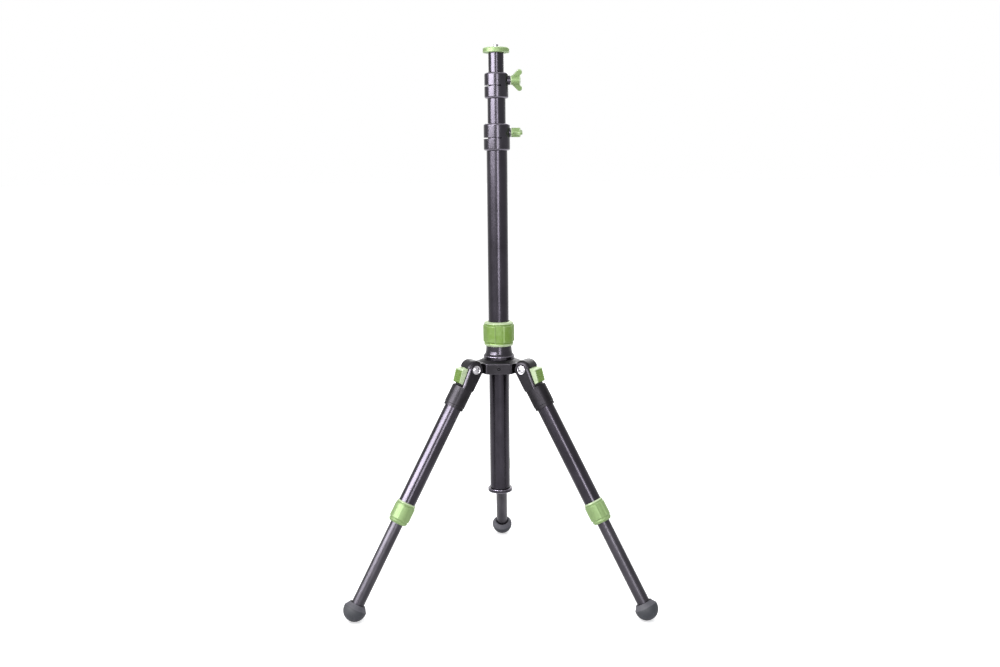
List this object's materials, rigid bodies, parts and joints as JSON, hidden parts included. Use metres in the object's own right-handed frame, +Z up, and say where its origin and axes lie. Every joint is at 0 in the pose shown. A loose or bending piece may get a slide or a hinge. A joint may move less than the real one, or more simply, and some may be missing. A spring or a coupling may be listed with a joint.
{
  "type": "elevating tripod with lifting column and stud head",
  "caption": "Black aluminium tripod for a laser level, with green twist locks, a three-stage lifting column held by wing screws, ball feet and a stud on its round head",
  "frame": {"origin": "middle of the footprint's bounding box on the floor, z = 0 at the feet's lowest points", "axes": "+Z up along the column, +Y towards the rear leg, +X to the right seen from the front"},
  "size_m": [0.376, 0.3293, 0.6794],
  "materials": {
    "black_anodised": "satin black anodised tube",
    "black_casting": "semi-gloss black on cast aluminium",
    "green_anodised": "lime green anodised, satin",
    "steel": "plated steel",
    "nylon": "matte",
    "rubber": "matte dark grey-blue"
  },
  "bodies": {
    "hub": {"hub_spider": "black_casting", "column_lock_base": "black_casting", "hub_bush": "nylon", "hub_set_screw": "steel"},
    "column_lock": {"column_lock_ring": "green_anodised"},
    "column_turn": {"column_collet": "nylon"},
    "column": {"column_outer_tube": "black_anodised", "column_end_cap": "black_casting", "lower_clamp_collar": "black_casting", "lower_clamp_pad": "nylon"},
    "lower_wing": {"lower_wing_screw": "green_anodised"},
    "mid": {"mid_tube": "black_anodised", "mid_glide_bush": "nylon", "upper_clamp_collar": "black_casting", "upper_clamp_pad": "nylon"},
    "upper_wing": {"upper_wing_screw": "green_anodised"},
    "inner": {"inner_tube": "black_anodised", "inner_glide_bush": "nylon", "head_plate": "green_anodised", "mount_stud": "steel", "head_set_screw": "steel"},
    "leg_1": {"leg_1_shoulder": "black_casting", "leg_1_pivot_nut": "steel", "leg_1_pivot_screw": "steel", "leg_1_upper_tube": "black_anodised", "leg_1_collet": "nylon", "leg_1_tab_spring": "steel"},
    "leg_1_tab": {"leg_1_angle_tab": "green_anodised", "leg_1_tab_screw": "steel"},
    "leg_1_lock": {"leg_1_lock_ring": "green_anodised"},
    "leg_1_lower": {"leg_1_lower_tube": "black_anodised", "leg_1_guide_bush": "nylon", "leg_1_foot": "rubber"},
    "leg_2": {"leg_2_shoulder": "black_casting", "leg_2_pivot_nut": "steel", "leg_2_pivot_screw": "steel", "leg_2_upper_tube": "black_anodised", "leg_2_collet": "nylon", "leg_2_tab_spring": "steel"},
    "leg_2_tab": {"leg_2_angle_tab": "green_anodised", "leg_2_tab_screw": "steel"},
    "leg_2_lock": {"leg_2_lock_ring": "green_anodised"},
    "leg_2_lower": {"leg_2_lower_tube": "black_anodised", "leg_2_guide_bush": "nylon", "leg_2_foot": "rubber"},
    "leg_3": {"leg_3_shoulder": "black_casting", "leg_3_pivot_nut": "steel", "leg_3_pivot_screw": "steel", "leg_3_upper_tube": "black_anodised", "leg_3_collet": "nylon", "leg_3_tab_spring": "steel"},
    "leg_3_tab": {"leg_3_angle_tab": "green_anodised", "leg_3_tab_screw": "steel"},
    "leg_3_lock": {"leg_3_lock_ring": "green_anodised"},
    "leg_3_lower": {"leg_3_lower_tube": "black_anodised", "leg_3_guide_bush": "nylon", "leg_3_foot": "rubber"}
  },
  "joints": [
    {"name": "column_lock", "type": "hinge", "parent": "hub", "child": "column_lock", "pos_m": [0, -0.05025, 0.3316], "axis": [0, 0, 1], "range_deg": [-180, 0]},
    {"name": "column_turn", "type": "hinge", "parent": "hub", "child": "column_turn", "pos_m": [0, -0.05025, 0.3316], "axis": [0, 0, 1], "continuous": true},
    {"name": "column_slide", "type": "slide", "parent": "column_turn", "child": "column", "axis": [0, 0, 1], "range_m": [-0.2073, 0.15]},
    {"name": "lower_wing", "type": "hinge", "parent": "column", "child": "lower_wing", "pos_m": [0, -0.05025, 0.5758], "axis": [1, 0, 0], "range_deg": [-180, 0]},
    {"name": "mid_slide", "type": "slide", "parent": "column", "child": "mid", "axis": [0, 0, 1], "range_m": [-0.029, 0.361]},
    {"name": "upper_wing", "type": "hinge", "parent": "mid", "child": "upper_wing", "pos_m": [0, -0.05025, 0.6371], "axis": [1, 0, 0], "range_deg": [-180, 0]},
    {"name": "inner_slide", "type": "slide", "parent": "mid", "child": "inner", "axis": [0, 0, 1], "range_m": [-0.0228, 0.361]},
    {"name": "leg_1_spread", "type": "hinge", "parent": "hub", "child": "leg_1", "pos_m": [-0.03325, -0.06945, 0.2907], "axis": [-0.5, 0.866, 0], "range_deg": [-30.44, 0]},
    {"name": "leg_1_tab", "type": "slide", "parent": "leg_1", "child": "leg_1_tab", "axis": [-0.7467, -0.4311, 0.5066], "range_m": [0, 0.0032], "stiffness_N_per_m": 700, "springref_m": -0.003, "deforming": ["leg_1_tab_spring"]},
    {"name": "leg_1_lock", "type": "hinge", "parent": "leg_1", "child": "leg_1_lock", "pos_m": [-0.11662, -0.11758, 0.12689], "axis": [0.4388, 0.2533, 0.8622], "range_deg": [-180, 0]},
    {"name": "leg_1_extend", "type": "slide", "parent": "leg_1", "child": "leg_1_lower", "axis": [-0.4388, -0.2533, -0.8622], "range_m": [-0.1056, 0]},
    {"name": "leg_2_spread", "type": "hinge", "parent": "hub", "child": "leg_2", "pos_m": [0.03325, -0.06945, 0.2907], "axis": [-0.5, -0.866, 0], "range_deg": [-30.44, 0]},
    {"name": "leg_2_tab", "type": "slide", "parent": "leg_2", "child": "leg_2_tab", "axis": [0.7467, -0.4311, 0.5066], "range_m": [0, 0.0032], "stiffness_N_per_m": 700, "springref_m": -0.003, "deforming": ["leg_2_tab_spring"]},
    {"name": "leg_2_lock", "type": "hinge", "parent": "leg_2", "child": "leg_2_lock", "pos_m": [0.11662, -0.11758, 0.12689], "axis": [-0.4388, 0.2533, 0.8622], "range_deg": [-180, 0]},
    {"name": "leg_2_extend", "type": "slide", "parent": "leg_2", "child": "leg_2_lower", "axis": [0.4388, -0.2533, -0.8622], "range_m": [-0.1056, 0]},
    {"name": "leg_3_spread", "type": "hinge", "parent": "hub", "child": "leg_3", "pos_m": [0, -0.01185, 0.2907], "axis": [1, 0, 0], "range_deg": [-30.44, 0]},
    {"name": "leg_3_tab", "type": "slide", "parent": "leg_3", "child": "leg_3_tab", "axis": [0, 0.8622, 0.5066], "range_m": [0, 0.0032], "stiffness_N_per_m": 700, "springref_m": -0.003, "deforming": ["leg_3_tab_spring"]},
    {"name": "leg_3_lock", "type": "hinge", "parent": "leg_3", "child": "leg_3_lock", "pos_m": [0, 0.08441, 0.12689], "axis": [0, -0.5066, 0.8622], "range_deg": [-180, 0]},
    {"name": "leg_3_extend", "type": "slide", "parent": "leg_3", "child": "leg_3_lower", "axis": [0, 0.5066, -0.8622], "range_m": [-0.1056, 0]}
  ]
}
